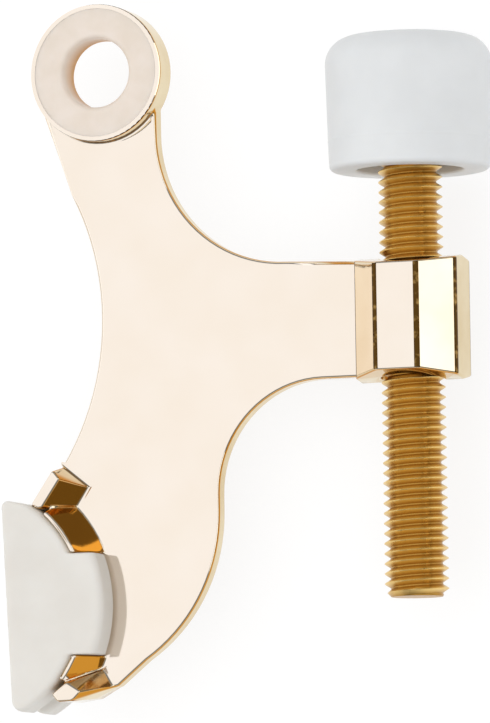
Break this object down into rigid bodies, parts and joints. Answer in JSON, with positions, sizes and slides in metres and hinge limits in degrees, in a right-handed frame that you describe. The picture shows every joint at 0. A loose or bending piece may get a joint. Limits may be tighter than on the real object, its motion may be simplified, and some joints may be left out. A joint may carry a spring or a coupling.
{
  "type": "hinge pin door stop",
  "caption": "Cast bracket that hangs on a door hinge's pin by its bushed eye, with a fixed rubber bumper for the casing and an adjustable threaded rod with a rubber cap for the door",
  "frame": {"origin": "on the hinge pin's axis, in the middle plane of the bracket's web", "axes": "+Z along the hinge pin, upwards in use; +Y parallel to the threaded rod, towards its cap; +X from the eye towards the rod"},
  "size_m": [0.0633, 0.089, 0.0208],
  "materials": {
    "plated_bracket": "bright polished pale brass plate over a die-cast body",
    "nylon": "moulded natural nylon, matte",
    "brass_rod": "rolled thread, bright yellow brass plate",
    "white_rubber": "smooth moulded off-white rubber"
  },
  "bodies": {
    "bracket": {"bracket": "plated_bracket", "eye_bushing": "nylon", "fixed_bumper": "white_rubber"},
    "cap": {"rubber_cap": "white_rubber"},
    "rod": {"threaded_rod": "brass_rod"}
  },
  "joints": [
    {"name": "rod_travel", "type": "slide", "parent": "bracket", "child": "cap", "axis": [0, 1, 0], "range_m": [-0.01, 0.025]},
    {"name": "rod_turn", "type": "hinge", "parent": "cap", "child": "rod", "pos_m": [0.0406, -0.0324, 0], "axis": [0, 1, 0], "range_deg": [-2881, 7201]}
  ],
  "couplings": [
    {"joint": "rod_turn", "follows": "rod_travel", "rad_per_m": 5026.5}
  ]
}
